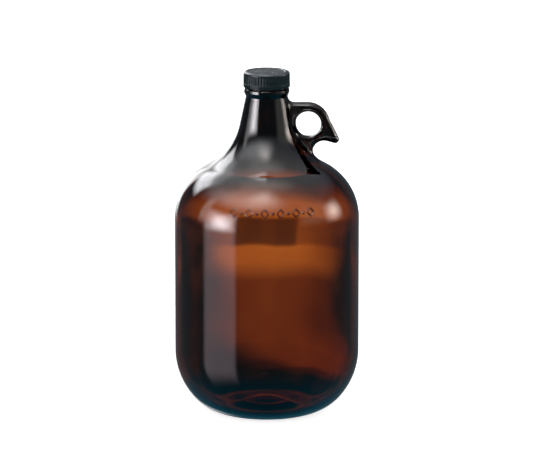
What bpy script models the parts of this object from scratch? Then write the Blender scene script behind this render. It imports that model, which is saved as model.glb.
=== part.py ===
"""One gallon glass growler: a jug with a ring handle, its screw cap and the liner inside the cap.

Units are metres and +Z is up. The origin is on the jug's axis at the plane it stands on. The handle
points along +X.
"""

import math

import bmesh
import bpy
from mathutils import Matrix

MM = 0.001

# Jug body, outside
BODY_RADIUS = 81.5 * MM
HEEL_HIGH_RADIUS = 63.0 * MM  # upper arc of the rounded heel
HEEL_LOW_RADIUS = 43.0 * MM  # lower arc, which ends on the bearing ring
HEEL_SPLIT_DEG = 40.0  # slope at which one heel arc turns into the other
SIDE_TOP_Z = 174.0 * MM
SHOULDER_RADIUS = 52.5 * MM
SHOULDER_DEG = 62.8  # slope where the shoulder turns into the neck's hollow curve
NECK_BLEND_RADIUS = 56.0 * MM
NECK_CONE_DEG = 12.5
NECK_TOP_Z = 282.6 * MM
PUNT_HEIGHT = 6.2 * MM
BEARING_WIDTH = 3.0 * MM

# Jug wall
WALL = 3.3 * MM
FLOOR = 5.2 * MM
BORE_RADIUS = 14.9 * MM

# 38 mm one-turn screw finish
FINISH_TOP_Z = 301.8 * MM
FINISH_RADIUS = 17.4 * MM
LIP_ROUND = 0.9 * MM
CUT_ABOVE = 5.0 * MM  # how far the cavity's cutter runs past the mouth
BEAD_RADIUS = 20.2 * MM
BEAD_LOW_Z = 286.0 * MM
BEAD_HIGH_Z = 289.7 * MM
BEAD_ROUND = 1.4 * MM
BEAD_FLARE_DEG = -45  # slope where the bead's round meets its flared underside
THREAD_PITCH = 25.4 / 6 * MM
THREAD_CREST_RADIUS = 18.6 * MM
THREAD_START_Z = 294.85 * MM
THREAD_TURNS = 1.1
THREAD_BASE_HALF = 1.05 * MM
THREAD_CREST_HALF = 0.5 * MM
THREAD_EMBED = 0.6 * MM
THREAD_FADE_DEG = 28.0
THREAD_END_SHARE = 0.25  # the ridge's height at its very ends

# Ring handle, drawn in the XZ plane
RING_X = 36.3 * MM
RING_Z = 258.0 * MM
HOLE_RADIUS = 11.3 * MM
RING_WIDTH = 2.9 * MM
CROWN_RADIUS = 18.9 * MM  # outer edge above the ring, about the ring's centre
CROWN_END_DEG = 27.0
SPUR_X = 60.2 * MM
SPUR_Z = 244.0 * MM
SPUR_RADIUS = 3.3 * MM
NOTCH_X = 50.3 * MM  # round notch under the spur
NOTCH_Z = 232.9 * MM
NOTCH_RADIUS = 10.0 * MM
NOTCH_END_DEG = 236.0
RIM_WIDTH = 4.0 * MM
RING_THICKNESS = 11.0 * MM
RIM_THICKNESS = 10.4 * MM
WEB_THICKNESS = 5.6 * MM
WEB_INSET = 0.5 * MM
ROOT_X = 15.5 * MM  # the handle's shapes start here, inside the neck wall

# Screw cap
CAP_BASE_Z = 291.2 * MM
CAP_HEIGHT = 13.6 * MM
CAP_RADIUS = 20.6 * MM
CAP_EDGE_ROUND = 2.5 * MM
CAP_INSIDE_RADIUS = 19.1 * MM
CAP_INSIDE_HEIGHT = 12.1 * MM
CAP_BAND_HEIGHT = 3.0 * MM  # plain band below the ribs
CAP_BEVEL = 0.35 * MM
CAP_RECESS_RADIUS = 16.2 * MM
CAP_RECESS_DEPTH = 0.45 * MM
RIB_COUNT = 48
RIB_DEPTH = 0.4 * MM
RIB_INSET = 0.15 * MM
CAP_THREAD_CREST_RADIUS = 17.85 * MM
CAP_THREAD_BASE_HALF = 0.8 * MM
CAP_THREAD_CREST_HALF = 0.3 * MM
CAP_THREAD_LAG_DEG = 140.0
THREAD_PLAY = 0.5 * MM  # the cap's thread sits this far above midway between two turns of the jug's

# Liner
GAP = 0.3 * MM
LINER_RADIUS = 18.8 * MM
LINER_THICKNESS = 0.9 * MM

# Facets: sides of a full turn, and steps of each arc
JUG_SIDES = 60
CAVITY_SIDES = 48
LINER_SIDES = 48
RING_SIDES = 32
HELIX_STEPS_PER_TURN = 40
PUNT_STEPS = 3
FLOOR_STEPS = 4
HEEL_LOW_STEPS = 5
HEEL_HIGH_STEPS = 4
SHOULDER_STEPS = 6
NECK_BLEND_STEPS = 6
BEAD_LOW_STEPS = 1
BEAD_HIGH_STEPS = 2
LIP_STEPS = 2
CROWN_STEPS = 8
SPUR_STEPS = 7
NOTCH_STEPS = 12
CAP_EDGE_STEPS = 4
SHARP_DEG = 30
MERGE_WITHIN = 0.001 * MM
SAME_RADIUS = 0.01 * MM

AMBER_GLASS = (0.22, 0.07, 0.02, 1.0)
GLASS_ROUGHNESS = 0.03
CHARCOAL_PLASTIC = (0.02, 0.025, 0.028, 1.0)
PLASTIC_ROUGHNESS = 0.42
WHITE_FOAM = (0.82, 0.82, 0.78, 1.0)
FOAM_ROUGHNESS = 0.7


def clear_scene():
    for obj in list(bpy.data.objects):
        bpy.data.objects.remove(obj)


def principled(name, color, roughness, metallic=0.0, transmission=0.0):
    material = bpy.data.materials.new(name)
    material.use_nodes = True
    shader = material.node_tree.nodes["Principled BSDF"]
    shader.inputs["Base Color"].default_value = color
    shader.inputs["Roughness"].default_value = roughness
    shader.inputs["Metallic"].default_value = metallic
    shader.inputs["Transmission Weight"].default_value = transmission
    return material


def object_from(name, bm, material=None):
    bmesh.ops.recalc_face_normals(bm, faces=bm.faces)
    mesh = bpy.data.meshes.new(name)
    bm.to_mesh(mesh)
    bm.free()
    mesh.shade_smooth()
    mesh.set_sharp_from_angle(angle=math.radians(SHARP_DEG))
    obj = bpy.data.objects.new(name, mesh)
    bpy.context.scene.collection.objects.link(obj)
    if material:
        mesh.materials.append(material)
    return obj


def arc(center_x, center_z, radius, start_deg, end_deg, steps):
    """Points of an arc in a vertical plane, both ends included."""
    points = []
    for i in range(steps + 1):
        angle = math.radians(start_deg + (end_deg - start_deg) * i / steps)
        points.append((center_x + radius * math.cos(angle), center_z + radius * math.sin(angle)))
    return points


def turned(name, profile, sides, material=None):
    """The solid that (radius, z) points sweep about Z. The profile starts and ends on the axis."""
    bm = bmesh.new()
    verts = [bm.verts.new((r, 0.0, z)) for r, z in profile]
    edges = [bm.edges.new(pair) for pair in zip(verts, verts[1:])]
    bmesh.ops.spin(
        bm, geom=verts + edges, cent=(0, 0, 0), axis=(0, 0, 1), angle=math.tau, steps=sides, use_merge=True
    )
    bmesh.ops.remove_doubles(bm, verts=bm.verts, dist=MERGE_WITHIN)
    return object_from(name, bm, material)


def plate(name, outline, thickness):
    """A flat plate with an (x, z) outline, centred on the plane y = 0."""
    bm = bmesh.new()
    face = bm.faces.new([bm.verts.new((x, -thickness / 2, z)) for x, z in outline])
    grown = bmesh.ops.extrude_face_region(bm, geom=[face])
    moved = [item for item in grown["geom"] if isinstance(item, bmesh.types.BMVert)]
    bmesh.ops.translate(bm, verts=moved, vec=(0, thickness, 0))
    return object_from(name, bm)


def helix_ridge(name, base_radius, crest_radius, base_half, crest_half, start_z, start_deg, turns):
    """A screw ridge of trapezoid section that sinks back into its wall at both ends."""
    bm = bmesh.new()
    steps = round(turns * HELIX_STEPS_PER_TURN)
    rings = []
    for i in range(steps + 1):
        turned_deg = 360.0 * turns * i / steps
        fade = min(1.0, turned_deg / THREAD_FADE_DEG, (360.0 * turns - turned_deg) / THREAD_FADE_DEG)
        crest = base_radius + (crest_radius - base_radius) * max(THREAD_END_SHARE, fade)
        z = start_z + THREAD_PITCH * turned_deg / 360.0
        spin = Matrix.Rotation(math.radians(start_deg + turned_deg), 3, "Z")
        section = (
            (base_radius, z - base_half),
            (crest, z - crest_half),
            (crest, z + crest_half),
            (base_radius, z + base_half),
        )
        ring = []
        for radius, height in section:
            vert = bm.verts.new((radius, 0, height))
            vert.co.rotate(spin)
            ring.append(vert)
        rings.append(ring)
    for low, high in zip(rings, rings[1:]):
        for k in range(4):
            bm.faces.new((low[k], low[(k + 1) % 4], high[(k + 1) % 4], high[k]))
    bm.faces.new(rings[0])
    bm.faces.new(rings[-1])
    return object_from(name, bm)


def combine(obj, tool, operation):
    """Joins or cuts obj with a helper that isn't part of the model."""
    tool.hide_render = True
    tool.display_type = "WIRE"
    modifier = obj.modifiers.new(f"{operation.title()} {tool.name}", "BOOLEAN")
    modifier.operation = operation
    modifier.solver = "EXACT"
    modifier.object = tool


def heel(side_radius, high_radius, low_radius, floor_z):
    """The rounded heel, from the floor's rim up to the straight side."""
    split = math.radians(HEEL_SPLIT_DEG)
    step = high_radius - low_radius
    floor_radius = side_radius - high_radius + step * math.cos(split)
    side_z = floor_z + low_radius + step * math.sin(split)
    low = arc(floor_radius, floor_z + low_radius, low_radius, -90, -HEEL_SPLIT_DEG, HEEL_LOW_STEPS)
    high = arc(side_radius - high_radius, side_z, high_radius, -HEEL_SPLIT_DEG, 0, HEEL_HIGH_STEPS)
    return low + high[1:]


def shoulder_and_neck(inset):
    """The shoulder's round, the neck's hollow curve and its cone's start, set in from the outside."""
    center_x = BODY_RADIUS - SHOULDER_RADIUS
    shoulder = arc(center_x, SIDE_TOP_Z, SHOULDER_RADIUS - inset, 0, SHOULDER_DEG, SHOULDER_STEPS)
    slope = math.radians(SHOULDER_DEG)
    reach = SHOULDER_RADIUS + NECK_BLEND_RADIUS
    blend_x = center_x + reach * math.cos(slope)
    blend_z = SIDE_TOP_Z + reach * math.sin(slope)
    blend_radius = NECK_BLEND_RADIUS + inset
    hollow = arc(blend_x, blend_z, blend_radius, 180 + SHOULDER_DEG, 180 + NECK_CONE_DEG, NECK_BLEND_STEPS)
    return shoulder + hollow[1:]


def along_cone(start, z):
    """Radius at height z on the neck's cone through start."""
    return start[0] - (z - start[1]) * math.tan(math.radians(NECK_CONE_DEG))


def jug_outside():
    heel_points = heel(BODY_RADIUS, HEEL_HIGH_RADIUS, HEEL_LOW_RADIUS, 0.0)
    punt_radius = heel_points[0][0] - BEARING_WIDTH
    dome_radius = (punt_radius**2 + PUNT_HEIGHT**2) / (2 * PUNT_HEIGHT)
    dome_deg = math.degrees(math.asin(punt_radius / dome_radius))
    punt = arc(0.0, PUNT_HEIGHT - dome_radius, dome_radius, 90, 90 - dome_deg, PUNT_STEPS)
    neck = shoulder_and_neck(0.0)
    neck_top = (along_cone(neck[-1], NECK_TOP_Z), NECK_TOP_Z)
    bead_x = BEAD_RADIUS - BEAD_ROUND
    bead = arc(bead_x, BEAD_LOW_Z + BEAD_ROUND, BEAD_ROUND, BEAD_FLARE_DEG, 0, BEAD_LOW_STEPS)
    bead += arc(bead_x, BEAD_HIGH_Z - BEAD_ROUND, BEAD_ROUND, 0, 90, BEAD_HIGH_STEPS)
    lip = arc(FINISH_RADIUS - LIP_ROUND, FINISH_TOP_Z - LIP_ROUND, LIP_ROUND, 0, 90, LIP_STEPS)
    finish_foot = (FINISH_RADIUS, BEAD_HIGH_Z)
    return punt + heel_points + neck + [neck_top] + bead + [finish_foot] + lip + [(0.0, FINISH_TOP_Z)]


def jug_inside():
    low_radius = HEEL_LOW_RADIUS - FLOOR
    heel_points = heel(BODY_RADIUS - WALL, HEEL_HIGH_RADIUS - WALL, low_radius, FLOOR)
    floor_radius = heel_points[0][0]
    floor = []
    for i in range(FLOOR_STEPS):
        share = i / FLOOR_STEPS
        rise = PUNT_HEIGHT * (1 + math.cos(math.pi * share)) / 2
        floor.append((floor_radius * share, FLOOR + rise))
    neck = shoulder_and_neck(WALL)
    bore_z = neck[-1][1] + (neck[-1][0] - BORE_RADIUS) / math.tan(math.radians(NECK_CONE_DEG))
    above = FINISH_TOP_Z + CUT_ABOVE
    return floor + heel_points + neck + [(BORE_RADIUS, bore_z), (BORE_RADIUS, above), (0.0, above)]


def handle_edge(inset):
    """The handle's edge from the neck over the ring, round the spur and under it to the shoulder."""
    toward = math.atan2(NOTCH_Z - SPUR_Z, NOTCH_X - SPUR_X)
    apart = math.hypot(NOTCH_Z - SPUR_Z, NOTCH_X - SPUR_X)
    tangent_deg = math.degrees(toward + math.acos((SPUR_RADIUS + NOTCH_RADIUS) / apart))
    edge = [(ROOT_X, RING_Z + CROWN_RADIUS - inset)]
    edge += arc(RING_X, RING_Z, CROWN_RADIUS - inset, 90, CROWN_END_DEG, CROWN_STEPS)
    edge += arc(SPUR_X, SPUR_Z, SPUR_RADIUS - inset, CROWN_END_DEG, tangent_deg, SPUR_STEPS)
    edge += arc(NOTCH_X, NOTCH_Z, NOTCH_RADIUS + inset, tangent_deg + 180, NOTCH_END_DEG, NOTCH_STEPS)
    return edge


def make_handle():
    """The ring, the rim round the outer edge, and the thinner web between them."""
    rim = plate("handle_rim", handle_edge(0.0) + handle_edge(RIM_WIDTH)[::-1], RIM_THICKNESS)
    foot = handle_edge(WEB_INSET)[-1]
    inner_corner = [(foot[0], foot[1] - RIM_WIDTH), (ROOT_X, foot[1] - RIM_WIDTH)]
    web = plate("handle_web", handle_edge(WEB_INSET) + inner_corner, WEB_THICKNESS)
    ring = plate("handle_ring", arc(RING_X, RING_Z, HOLE_RADIUS + RING_WIDTH, 0, 360, RING_SIDES)[1:], RING_THICKNESS)
    hole = plate("handle_hole", arc(RING_X, RING_Z, HOLE_RADIUS, 0, 360, RING_SIDES)[1:], 2 * RING_THICKNESS)
    combine(web, rim, "UNION")
    combine(web, ring, "UNION")
    combine(web, hole, "DIFFERENCE")
    return web


def make_jug():
    glass = principled("amber_glass", AMBER_GLASS, GLASS_ROUGHNESS, transmission=1.0)
    jug = turned("glass_jug", jug_outside(), JUG_SIDES, glass)
    thread = helix_ridge(
        "jug_thread",
        FINISH_RADIUS - THREAD_EMBED,
        THREAD_CREST_RADIUS,
        THREAD_BASE_HALF,
        THREAD_CREST_HALF,
        THREAD_START_Z,
        0.0,
        THREAD_TURNS,
    )
    combine(jug, make_handle(), "UNION")
    combine(jug, thread, "UNION")
    combine(jug, turned("jug_cavity", jug_inside(), CAVITY_SIDES), "DIFFERENCE")
    return jug


def make_cap(cap_axis):
    """The cap's shell, turned in one piece, with every second column of its side pressed in to leave ribs."""
    plastic = principled("charcoal_plastic", CHARCOAL_PLASTIC, PLASTIC_ROUGHNESS)
    side_low = CAP_BAND_HEIGHT
    side_high = CAP_HEIGHT - CAP_EDGE_ROUND
    rib_radius = CAP_RADIUS - RIB_INSET
    recess_z = CAP_HEIGHT - CAP_RECESS_DEPTH
    profile = [(0.0, CAP_INSIDE_HEIGHT), (CAP_INSIDE_RADIUS, CAP_INSIDE_HEIGHT), (CAP_INSIDE_RADIUS, 0.0)]
    profile += [(CAP_RADIUS - CAP_BEVEL, 0.0), (CAP_RADIUS, CAP_BEVEL), (CAP_RADIUS, side_low - CAP_BEVEL)]
    profile += [(rib_radius, side_low), (rib_radius, side_high - CAP_BEVEL)]
    profile += arc(CAP_RADIUS - CAP_EDGE_ROUND, side_high, CAP_EDGE_ROUND, 0, 90, CAP_EDGE_STEPS)
    profile += [(CAP_RECESS_RADIUS, CAP_HEIGHT), (CAP_RECESS_RADIUS - CAP_RECESS_DEPTH, recess_z), (0.0, recess_z)]
    cap = turned("screw_cap", profile, 2 * RIB_COUNT, plastic)
    groove_share = (rib_radius - RIB_DEPTH) / rib_radius
    for vert in cap.data.vertices:
        column = round(math.atan2(vert.co.y, vert.co.x) / math.tau * 2 * RIB_COUNT)
        on_rib_side = math.isclose(math.hypot(vert.co.x, vert.co.y), rib_radius, abs_tol=SAME_RADIUS)
        if on_rib_side and column % 2:
            vert.co.x *= groove_share
            vert.co.y *= groove_share

    lag_rise = THREAD_PITCH * (CAP_THREAD_LAG_DEG / 360.0 - 0.5)
    thread = helix_ridge(
        "cap_thread",
        CAP_INSIDE_RADIUS + THREAD_EMBED,
        CAP_THREAD_CREST_RADIUS,
        CAP_THREAD_BASE_HALF,
        CAP_THREAD_CREST_HALF,
        THREAD_START_Z - CAP_BASE_Z + lag_rise + THREAD_PLAY,
        CAP_THREAD_LAG_DEG,
        THREAD_TURNS,
    )
    combine(cap, thread, "UNION")
    for piece in (cap, thread):
        piece.parent = cap_axis
    return cap


def make_liner(cap_axis):
    foam = principled("white_foam", WHITE_FOAM, FOAM_ROUGHNESS)
    low = CAP_INSIDE_HEIGHT - GAP - LINER_THICKNESS
    high = CAP_INSIDE_HEIGHT - GAP
    liner = turned("liner", [(0.0, low), (LINER_RADIUS, low), (LINER_RADIUS, high), (0.0, high)], LINER_SIDES, foam)
    liner.parent = cap_axis
    return liner


def main():
    clear_scene()
    make_jug()
    cap_axis = bpy.data.objects.new("cap_axis", None)
    cap_axis.location = (0.0, 0.0, CAP_BASE_Z)
    bpy.context.scene.collection.objects.link(cap_axis)
    make_liner(cap_axis)
    make_cap(cap_axis)


main()
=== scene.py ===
"""The looks of the growler: a glass jug with a ring handle, a ribbed screw cap and its foam liner.

Metres, +Z up. The jug stands on z = 0 with its axis on Z, the handle points along +X and -Y is the front.
"""

import math

import bmesh
import bpy
import numpy as np
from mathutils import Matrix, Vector


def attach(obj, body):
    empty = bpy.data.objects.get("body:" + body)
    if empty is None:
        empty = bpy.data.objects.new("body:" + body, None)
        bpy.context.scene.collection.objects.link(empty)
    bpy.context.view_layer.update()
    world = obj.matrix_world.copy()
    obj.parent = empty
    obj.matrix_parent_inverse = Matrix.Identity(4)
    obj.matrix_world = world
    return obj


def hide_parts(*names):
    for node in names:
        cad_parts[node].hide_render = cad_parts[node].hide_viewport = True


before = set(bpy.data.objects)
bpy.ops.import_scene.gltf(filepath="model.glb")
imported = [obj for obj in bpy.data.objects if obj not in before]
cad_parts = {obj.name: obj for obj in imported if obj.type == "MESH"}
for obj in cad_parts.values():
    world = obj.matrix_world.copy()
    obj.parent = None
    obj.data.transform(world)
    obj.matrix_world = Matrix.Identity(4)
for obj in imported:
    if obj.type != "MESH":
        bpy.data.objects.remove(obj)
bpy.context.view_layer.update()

MM = 0.001
TAU = math.tau

# ---------------------------------------------------------------- dimensions, the same as the CAD part's
BODY_RADIUS = 81.5 * MM
HEEL_HIGH_RADIUS = 63.0 * MM
HEEL_LOW_RADIUS = 43.0 * MM
HEEL_SPLIT_DEG = 40.0
SIDE_TOP_Z = 174.0 * MM
SHOULDER_RADIUS = 52.5 * MM
SHOULDER_DEG = 62.8
NECK_BLEND_RADIUS = 56.0 * MM
NECK_CONE_DEG = 12.5
NECK_TOP_Z = 282.6 * MM
PUNT_HEIGHT = 6.2 * MM
BEARING_WIDTH = 3.0 * MM
WALL = 3.3 * MM
FLOOR = 5.2 * MM
BORE_RADIUS = 14.9 * MM

FINISH_TOP_Z = 301.8 * MM
FINISH_RADIUS = 17.4 * MM
LIP_ROUND = 0.9 * MM
BEAD_RADIUS = 20.2 * MM
BEAD_LOW_Z = 286.0 * MM
BEAD_HIGH_Z = 289.7 * MM
THREAD_PITCH = 25.4 / 6 * MM
THREAD_CREST_RADIUS = 18.6 * MM
THREAD_START_Z = 294.85 * MM
THREAD_TURNS = 1.1
THREAD_BASE_HALF = 1.05 * MM
THREAD_CREST_HALF = 0.5 * MM
THREAD_FADE_DEG = 28.0

RING_X = 36.3 * MM
RING_Z = 258.0 * MM
HOLE_RADIUS = 11.3 * MM
RING_WIDTH = 2.9 * MM
CROWN_RADIUS = 18.9 * MM
CROWN_END_DEG = 27.0
SPUR_X = 60.2 * MM
SPUR_Z = 244.0 * MM
SPUR_RADIUS = 3.3 * MM
NOTCH_X = 50.3 * MM
NOTCH_Z = 232.9 * MM
NOTCH_RADIUS = 10.0 * MM
NOTCH_END_DEG = 236.0
RIM_WIDTH = 4.0 * MM
RING_THICKNESS = 11.0 * MM
RIM_THICKNESS = 10.4 * MM
WEB_THICKNESS = 5.6 * MM
ROOT_X = 15.5 * MM

CAP_BASE_Z = 291.2 * MM
CAP_HEIGHT = 13.6 * MM
CAP_RADIUS = 20.6 * MM
CAP_EDGE_ROUND = 2.5 * MM
CAP_INSIDE_RADIUS = 19.1 * MM
CAP_INSIDE_HEIGHT = 12.1 * MM
CAP_BAND_HEIGHT = 3.0 * MM
CAP_RECESS_RADIUS = 16.2 * MM
CAP_RECESS_DEPTH = 0.45 * MM
RIB_COUNT = 48
CAP_THREAD_CREST_RADIUS = 17.85 * MM
CAP_THREAD_BASE_HALF = 0.8 * MM
CAP_THREAD_CREST_HALF = 0.3 * MM
CAP_THREAD_LAG_DEG = 140.0
THREAD_PLAY = 0.5 * MM

LINER_RADIUS = 18.8 * MM
LINER_LOW_Z = 302.1 * MM
LINER_HIGH_Z = 303.0 * MM

# ---------------------------------------------------------------- detail that the CAD part leaves out
MOUTH_ROUND = 0.8 * MM
BEAD_FOOT = 0.8 * MM  # how far above the bead's foot its leaning face starts
BEAD_LEAN = 0.4 * MM  # how far the face leans in at its top
BEAD_LOW_ROUND = 0.6 * MM
BEAD_HIGH_ROUND = 1.0 * MM
BEAD_INNER_ROUND = 0.4 * MM
NECK_TUCK = 0.05 * MM  # the small step in and up between the neck and the bead's underside
NECK_TUCK_RISE = 0.3 * MM
NECK_TUCK_ROUND = 0.4 * MM

EDGE_ROUND = 1.9 * MM  # edges of the handle's ring and web
RIM_ROUND = 4.2 * MM  # outer edges of the handle's rim
RIM_BLEND = 1.0 * MM  # widths over which the handle's shapes run into each other and into the jug
RING_BLEND = 1.0 * MM
WEB_BLEND = 1.2 * MM
HANDLE_BLEND = 5.0 * MM
WEB_INSET = 0.4 * MM
WEB_FOOT = 3.0 * MM

RIB_DEPTH = 0.32 * MM
RIB_INSET = 0.15 * MM
RIB_RUN_OUT = 0.5 * MM
RIB_SHARPNESS = 0.7
RIB_LOW_Z = CAP_BASE_Z + CAP_BAND_HEIGHT
RIB_HIGH_Z = CAP_BASE_Z + CAP_HEIGHT - CAP_EDGE_ROUND - 0.2 * MM
CAP_CEILING_ROUND = 0.5 * MM
CAP_FOOT_ROUND = 0.3 * MM
CAP_BEVEL = 0.35 * MM
CAP_BAND_ROUND = 0.3 * MM
CAP_STEP_HALF = 0.1 * MM  # half the height of the step from the plain band to the ribs
CAP_STEP_ROUND = 0.2 * MM
RECESS_SLOPE = 0.3 * MM  # half the width of the step down to the top's recess
RECESS_ROUND = 0.25 * MM

LINER_ROUND = 0.3 * MM
DENT_DEPTH = 0.12 * MM  # the dent that the mouth leaves in the liner
DENT_INNER_SLOPE = 0.5 * MM
DENT_OUTER_SLOPE = 0.4 * MM
DENT_ROUND = 0.1 * MM

ORNAMENT_DEG = -86.1
ORNAMENT_HALF_DEG = 25.2
ORNAMENT_COUNT = 11
ORNAMENT_SLOPE_DEG = 21.4
ORNAMENT_RELIEF = 0.9 * MM
LOZENGE_HALF_WIDTH = 4.1 * MM
LOZENGE_HALF_HEIGHT = 4.6 * MM
LOZENGE_STROKE = 0.17
LOZENGE_STEEPNESS = 1.5
BEAD_DOT_RADIUS = 1.5 * MM
BEAD_DOT_STEEPNESS = 1.6

WAVE_COUNT = 12
WAVE_TURN = 2.4
WAVE_RISE = 1.7
WAVE_FLATTEN = 0.35
WAVE_LONG = 70.0 * MM
WAVE_HEIGHT = 0.12 * MM

# ---------------------------------------------------------------- how fine the meshes are
SLOPE_REACH = 0.02 * MM
NET_STEP = 0.7 * MM
NET_DEPTH = 47
NET_INSIDE_STEPS = 1.5  # the net starts this many steps inside the turned surface
NET_PASSES = 4
NET_START_DEG = 46.0  # slopes on the shoulder at which one mesh gives way to the next
BAND_START_DEG = 12.0
BAND_END_DEG = 31.0
BAND_GAP_DEG = 0.6  # slopes left between those meshes
NET_GAP_DEG = 0.4
PLAIN_DEG = 3.0  # angles round the axis
BAND_FINE_DEG = 0.3
BAND_MARGIN_DEG = 4
HANDLE_FINE_DEG = 0.6
HANDLE_HALF_DEG = 27.0
SPACING_BLEND_DEG = 12.0
LEAST_SHARE = 0.3  # of a whole step that the last step round the axis may have
LINER_DEG = 2.5
COLUMNS_PER_RIB = 8
CORNER_DEG = 18  # largest turn between two rows of a rounded corner
BODY_STEP = 2.0 * MM
BAND_STEP = 0.3 * MM
INNER_STEP = 2.5 * MM
FINISH_STEP = 0.5 * MM
THREAD_STEP = 0.22 * MM
BORE_STEP = 3.0 * MM
RIB_STEP = 0.25 * MM
CAP_STEP = 4.0 * MM
LINER_STEP = 2.0 * MM
OUTLINE_STEP = 0.8 * MM
PUNT_HUB_DEG = 0.6  # half angle of the punt's arc that its middle fan covers
HUB_RADIUS = 1.0 * MM  # of the fans at the middle of the cap and the liner
UPRIGHT = 0.99  # a row whose normal has at least this share across the axis is on an upright wall
SAME_RADIUS = 0.01 * MM

# ---------------------------------------------------------------- materials
GLASS_IOR = 1.5
AMBER_COLOR = (0.80, 0.49, 0.03, 1.0)
AMBER_DENSITY = 690.0
GLASS_STREAKS = 14.0  # noise scales, per metre
GLASS_GRAIN = 160.0
GLASS_SCUFFS = 60.0
GLASS_GRAIN_SHARE = 0.03
GLASS_BUMP = 0.35 * MM
GLASS_BUMP_STRENGTH = 0.5
GLASS_ROUGHNESS = 0.03

PLASTIC_IOR = 1.5
PLASTIC_GRAIN = 2600.0
PLASTIC_CLOUD = 120.0
PLASTIC_BUMP = 0.03 * MM
PLASTIC_BUMP_STRENGTH = 0.5
CAP_SIDE_COLORS = ((0.003, 0.008, 0.010, 1.0), (0.006, 0.012, 0.014, 1.0))
# the top colours are painted sheen: the cap's top drawn lighter for the light that falls on it from above
CAP_SHEEN_TOP_COLORS = ((0.040, 0.048, 0.053, 1.0), (0.065, 0.075, 0.082, 1.0))
PAINTED_SHEEN_BELOW_TOP = (2.0 * MM, 0.5 * MM)  # painted sheen: the lighter top colours fade in between these depths under the cap's top
CAP_SPECULAR = 0.2
TOP_SPECULAR_RAISE = 0.25  # added on the cap's top, where the painted sheen is
BAND_ROUGHNESS = 0.14
RIB_ROUGHNESS = 0.24
BAND_FADE = 0.2 * MM
CLOUD_ROUGHNESS = (-0.03, 0.05)

FOAM_CELLS = 1500.0
FOAM_COLORS = ((0.70, 0.69, 0.66, 1.0), (0.84, 0.83, 0.80, 1.0))
FOAM_ROUGHNESS = (0.75, 0.95)
FOAM_BUMP = 0.08 * MM
FOAM_BUMP_STRENGTH = 0.6

# ---------------------------------------------------------------- stage
# The studio's numbers place each highlight and each bright or dark patch, so they are set one by one.
DOME_RADIUS = 30.0
DOME_SUBDIVISIONS = 4
ROOM_STOPS = (
    # elevation, color
    (-90.0, (0.01, 0.12, 0.20)),
    (-45.0, (0.03, 0.20, 0.30)),
    (-20.0, (0.12, 0.14, 0.16)),
    (25.0, (0.07, 0.08, 0.10)),
    (40.0, (0.5, 0.52, 0.6)),
    (65.0, (0.9, 0.9, 0.9)),
    (90.0, (3.0, 2.9, 2.8)),
)
WINDOWS = (
    # azimuth, half width, soft edge, elevation, half height, soft edge, color
    (-61.0, 21.0, 5.0, 8.0, 15.0, 7.0, (4.6, 4.4, 4.6)),
    (-59.0, 11.0, 10.0, 7.0, 9.0, 9.0, (15.0, 14.3, 14.8)),
    (-62.0, 22.5, 4.0, -16.0, 13.0, 15.0, (1.5, 1.25, 1.4)),
    (-88.0, 6.0, 4.0, 20.0, 16.0, 8.0, (2.0, 2.0, 2.0)),
    (-60.0, 45.0, 12.0, 44.0, 8.0, 12.0, (1.0, 1.0, 1.05)),
    (-28.0, 50.0, 25.0, 55.0, 14.0, 14.0, (1.6, 1.6, 1.7)),
    (-110.0, 60.0, 25.0, 60.0, 20.0, 12.0, (0.8, 0.8, 0.8)),
    (-12.0, 24.0, 24.0, 60.0, 12.0, 16.0, (5.2, 4.9, 4.6)),
    (-3.0, 6.0, 14.0, 64.0, 4.0, 10.0, (3.0, 2.8, 2.3)),
    (96.0, 9.0, 11.0, 14.5, 8.0, 9.0, (11.0, 9.9, 9.0)),
    (68.0, 22.0, 9.0, 20.0, 14.0, 8.0, (0.6, 0.6, 0.55)),
    (-140.0, 17.0, 5.0, 31.5, 9.0, 5.0, (7.2, 7.2, 7.4)),
    (-138.0, 18.0, 10.0, 44.0, 6.0, 7.0, (1.6, 1.6, 1.6)),
    (-157.0, 7.5, 2.5, 8.0, 14.0, 7.0, (3.3, 3.3, 3.3)),
    (-170.0, 7.0, 3.0, 6.0, 24.0, 9.0, (1.8, 1.8, 1.8)),
    (-170.0, 12.0, 8.0, 70.0, 8.0, 6.0, (2.4, 2.4, 2.4)),
    (-167.0, 4.5, 3.0, -28.0, 10.0, 8.0, (0.9, 0.9, 0.9)),
    (172.0, 4.0, 3.0, -18.0, 8.0, 6.0, (0.8, 0.8, 0.8)),
)
BACKLIGHT_RADIUS = 0.35
BACKLIGHT_SIDES = 128
BACKLIGHT_LOW_Z = -0.20
BACKLIGHT_HIGH_Z = 0.60
BACKLIGHT_STOPS = (
    # height, color
    (-0.20, (0.0, 0.0, 0.0)),
    (-0.066, (0.0, 0.0, 0.0)),
    (-0.050, (0.10, 0.05, 0.02)),
    (-0.042, (0.30, 0.18, 0.1)),
    (0.040, (0.32, 0.20, 0.1)),
    (0.058, (0.92, 0.86, 0.8)),
    (0.072, (0.95, 0.90, 0.8)),
    (0.076, (0.50, 0.42, 0.35)),
    (0.100, (0.52, 0.44, 0.36)),
    (0.104, (0.95, 0.90, 0.8)),
    (0.120, (0.85, 0.80, 0.7)),
    (0.138, (0.20, 0.15, 0.1)),
    (0.152, (0.0, 0.0, 0.0)),
    (0.60, (0.0, 0.0, 0.0)),
)
NARROW_STOPS = (
    # height, how narrow the panels are, where less than 1 is wider
    (-0.20, 0.8),
    (-0.020, 0.8),
    (0.005, 1.0),
    (0.035, 1.0),
    (0.055, 0.83),
    (0.085, 0.83),
    (0.105, 0.5),
    (0.60, 0.5),
)
PANELS = (
    # degrees from the back (+Y) towards the handle's side (+X), strength
    (0.0, 1.0),
    (45.0, 0.25),
    (90.0, 0.8),
    (135.0, 0.9),
    (180.0, 0.9),
    (225.0, 0.6),
    (270.0, 0.9),
    (315.0, 0.6),
)
PANEL_RIGHT_DEG = (3.7, 15.8)  # a panel's side is full up to the first of these and gone past the second
PANEL_LEFT_DEG = (-2.9, -12.0)
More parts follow.
